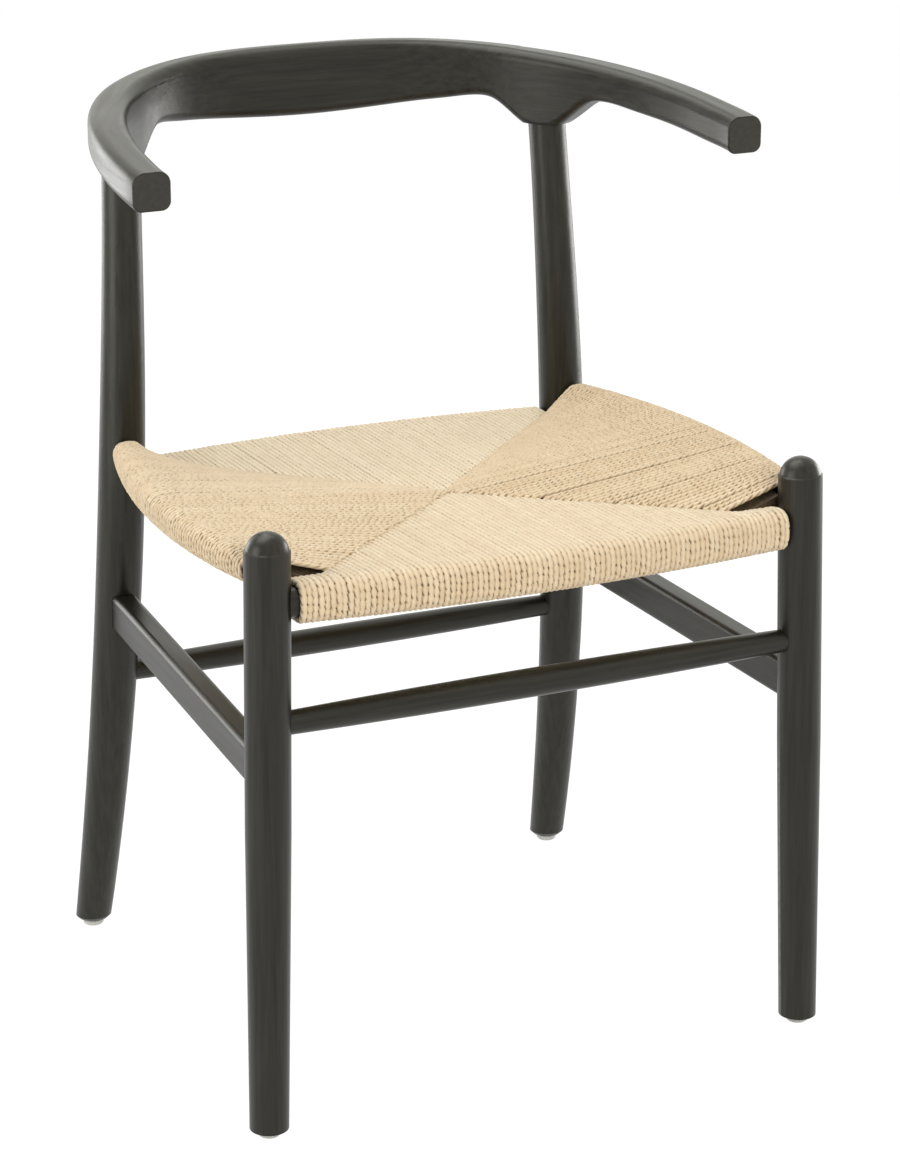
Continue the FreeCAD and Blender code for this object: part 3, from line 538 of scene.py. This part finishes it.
def weave(panel, material):
    """The strands of a panel, as two pieces."""
    halves = [Strands(), Strands()]
    across = Vector((*panel.lateral, 0))
    for station in panel.stations():
        seed = dice.uniform(0, DRIFT_SEEDS)
        radius = CORD_RADIUS * panel.girth * dice.uniform(*GIRTH_SHARES)
        # The panel's painted shade, and the strand's own random paleness
        tint_and_painted_shade = panel.tint_and_painted_shade + dice.uniform(-TINT_SPREAD, TINT_SPREAD)
        rail_out, (thick, _) = panel.rail(station)
        path, radii, tints_and_painted_shade = [], [], []
        for out, height in panel.profile(station):
            drift = STRAY * noise.noise(Vector((out * DRIFT_WAVES, height * DRIFT_WAVES, seed)))
            path.append(panel.point(station + drift, out, height))
            radii.append(radius * panel.thickness(station, out, height))
            # Painted shade, deeper towards the outside of the rail
            tints_and_painted_shade.append(tint_and_painted_shade + panel.roll_painted_shade * max((out - rail_out) / thick, 0))
        half = halves[station > sum(panel.ends) / 2]
        half.add(path, radii, tints_and_painted_shade, across, panel.slit)
    return [half.piece(f"seat_cord_{panel.name}_{i}", material) for i, half in enumerate(halves, start=1)]


SIDE_RAIL = {
    "chord": ((-0.2078, 0.2248), (0.1339, 0.2036)), "height": 0.4467, "bow": 0.0185,
    "end_half": (0.0080, 0.0062), "mid_half": (0.0107, 0.0092), "ends": (-0.1960, 0.1215),
    "roll_painted_shade": 0.1, "girth": 1.0, "slit": (0.25, 0.42),
}
# The panels' cord is drawn darker where light falls less on their side of the seat, as painted shade, and
# darker still on the outside of each rail.
PANELS = [
    Panel(
        name="front", outward=Vector((0, -1)), lateral=Vector((1, 0)),
        chord=((-0.215, 0.2188), (0.215, 0.2188)), height=0.4255, bow=0.0135,
        end_half=(0.0092, 0.0115), mid_half=(0.0100, 0.0120), ends=(-0.2025, 0.2055),
        tint_and_painted_shade=0.20, roll_painted_shade=0.50, girth=1.32, slit=(0.70, 0.44),
        partings=((-0.03, 0.0008), (0.1995, 0.0016)),
    ),
    Panel(
        name="rear", outward=Vector((0, 1)), lateral=Vector((1, 0)),
        chord=((-0.1914, 0.1461), (0.1914, 0.1461)), height=0.4200, bow=0.0110,
        end_half=(0.0065, 0.0085), mid_half=(0.0090, 0.00925), ends=(-0.1795, 0.1795),
        tint_and_painted_shade=0.03, roll_painted_shade=0.2, girth=1.26, slit=(0.68, 0.44),
        partings=((-0.10, 0.0010), (-0.035, 0.0008)),
    ),
    Panel(
        name="left", outward=Vector((-1, 0)), lateral=Vector((0, 1)), **SIDE_RAIL, tint_and_painted_shade=0.50,
        partings=((-0.034, 0.0016), (-0.022, 0.0018)),
    ),
    Panel(
        name="right", outward=Vector((1, 0)), lateral=Vector((0, 1)), **SIDE_RAIL, tint_and_painted_shade=0.66,
        partings=((-0.185, 0.0012), (-0.138, 0.0012), (-0.101, 0.0024), (-0.059, 0.0018), (-0.046, 0.0016)),
    ),
]

STUFFING_INSET = 0.0050   # how far the stuffing lies inside the faces of the weave
STUFFING_STEPS = 8        # on either side of the point where the seams meet


def stuffing_section(panel, station):
    """Corners of the stuffing at a station: two beside the seam and two beside the rail."""
    seam, top, low = panel.seam(station)
    out, (thick, high) = panel.rail(station)
    side = out - thick
    share = (side - seam) / (out - seam)
    outline = [
        (seam, top - STUFFING_INSET),
        (side, lerp(top, panel.height + high, share) - STUFFING_INSET),
        (side, lerp(low, panel.height - high, share) + STUFFING_INSET),
        (seam, low + STUFFING_INSET),
    ]
    return [panel.point(station, reach, height) for reach, height in outline]


def stuffing():
    """Four closed wedges between the two faces of the weave, whose near-black colour is painted shade in the
    gaps.
    """
    points, faces = [], []
    for panel in PANELS:
        start, middle, stop = panel.seam_stations()
        shares = [i / STUFFING_STEPS for i in range(STUFFING_STEPS)]
        halves = ((start, middle), (middle, stop))
        stations = [lerp(low, high, share) for low, high in halves for share in shares] + [stop]
        sections = [stuffing_section(panel, station) for station in stations]
        corners = len(sections[0])
        first = len(points)
        points += sum(sections, [])
        faces += tube_faces(first, len(points) - corners, corners)
    mesh = bpy.data.meshes.new("seat_stuffing")
    mesh.from_pydata(points, [], faces)
    mesh.materials.append(stuffing_paper_painted_shade)
    return place_piece("seat_stuffing", mesh)


cord = paper_cord()
seat_pieces = [piece for panel in PANELS for piece in weave(panel, cord)]
for piece in seat_pieces + [stuffing()]:
    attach(piece, "root")
    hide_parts("woven_seat")


# Floor, world and lamps

WHITE = (1, 1, 1, 1)
FLOOR_SIZE = 12
FLOOR_NOISE = (3, 2, 0.55)
FLOOR_PAPER = ((0.84, 0.84, 0.83, 1), (0.88, 0.88, 0.87, 1))
FLOOR_GLOW_SHARE = 0.86   # share of the floor's look that is plain white to the camera
FLOOR_GLOW = 1.1
WORLD_LIGHT = 0.42        # light that the surroundings give
BACKDROP = (1.08, 1.08, 1.0, 1)
LAMPS = [
    # name, place, aim, width, height, watts, and whether it shows in reflections
    ("left_softbox", (-2.3, -0.3, 1.0), (0, 0, 0.45), 1.3, 1.7, 22, True),
    ("rear_softbox", (1.0, 2.5, 1.5), (0, 0, 0.7), 2.8, 1.2, 5, True),
    ("left_rear_softbox", (-1.0, 2.0, 0.6), (-0.2, 0, 0.55), 1.2, 1.0, 14, True),
    ("right_softbox", (2.5, 0.55, 0.5), (0, 0, 0.5), 1.5, 1.0, 27, True),
    ("top_softbox", (-0.3, 0.6, 2.6), (0, 0, 0.5), 2.2, 1.8, 38, True),
    ("front_softbox", (0.1, -2.9, 1.9), (0, 0, 0.4), 1.8, 1.4, 62, False),
]


def seen_directly(graph):
    """1 for rays that the eye follows: straight, mirrored or through glass."""
    path = graph.node("ShaderNodeLightPath").outputs
    direct = graph.math("MAXIMUM", path["Is Camera Ray"], path["Is Glossy Ray"])
    return graph.math("MAXIMUM", direct, path["Is Transmission Ray"])


def aim(item, place, target):
    item.location = place
    item.rotation_euler = (Vector(target) - Vector(place)).to_track_quat("-Z", "Y").to_euler()
    bpy.context.scene.collection.objects.link(item)


def add_floor():
    half = FLOOR_SIZE / 2
    corners = [(-half, -half, 0), (half, -half, 0), (half, half, 0), (-half, half, 0)]
    mesh = bpy.data.meshes.new("floor")
    mesh.from_pydata(corners, [], [(0, 1, 2, 3)])
    material, graph = new_graph("pale_floor")
    paper = graph.mix(graph.noise(graph.place(), *FLOOR_NOISE), *FLOOR_PAPER)
    matt = graph.node("ShaderNodeBsdfDiffuse", {"Color": paper})
    glow = graph.node("ShaderNodeEmission", {"Color": WHITE, "Strength": FLOOR_GLOW})
    share = graph.math("MULTIPLY", seen_directly(graph), FLOOR_GLOW_SHARE)
    both = graph.node("ShaderNodeMixShader", {0: share, 1: matt.outputs[0], 2: glow.outputs[0]})
    graph.node("ShaderNodeOutputMaterial", {"Surface": both.outputs[0]})
    mesh.materials.append(material)
    place_piece("floor", mesh)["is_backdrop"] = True


def add_world():
    world = bpy.data.worlds.new("studio")
    bpy.context.scene.world = world
    world.use_nodes = True
    graph = Graph(world.node_tree)
    seen = seen_directly(graph)
    colour = graph.mix(seen, WHITE, BACKDROP)
    strength = graph.remap(seen, 0, 1, WORLD_LIGHT, 1)
    light = graph.node("ShaderNodeBackground", {"Color": colour, "Strength": strength})
    graph.node("ShaderNodeOutputWorld", {"Surface": light.outputs[0]})


def add_lamp(name, place, target, width, height, watts, mirrored):
    lamp = bpy.data.lights.new(name, "AREA")
    lamp.shape = "RECTANGLE"
    lamp.size, lamp.size_y, lamp.energy = width, height, watts
    item = bpy.data.objects.new(name, lamp)
    item.visible_glossy = mirrored
    aim(item, place, target)


def add_camera():
    data = bpy.data.cameras.new("camera")
    data.sensor_fit = "VERTICAL"
    data.sensor_height = SENSOR
    data.lens = FOCAL_PIXELS * SENSOR / IMAGE_HEIGHT
    data.shift_x, data.shift_y = (offset / IMAGE_HEIGHT for offset in AXIS_OFFSET_PIXELS)
    item = bpy.data.objects.new("camera", data)
    aim(item, CAMERA_PLACE, CAMERA_TARGET)
    bpy.context.scene.camera = item


add_floor()
add_world()
for lamp in LAMPS:
    add_lamp(*lamp)
add_camera()
bpy.context.scene.view_settings.view_transform = "Standard"

boxes = {"cad": cad_box, "visual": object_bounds()}
{name: [list(corner) for corner in box] for name, box in boxes.items()}
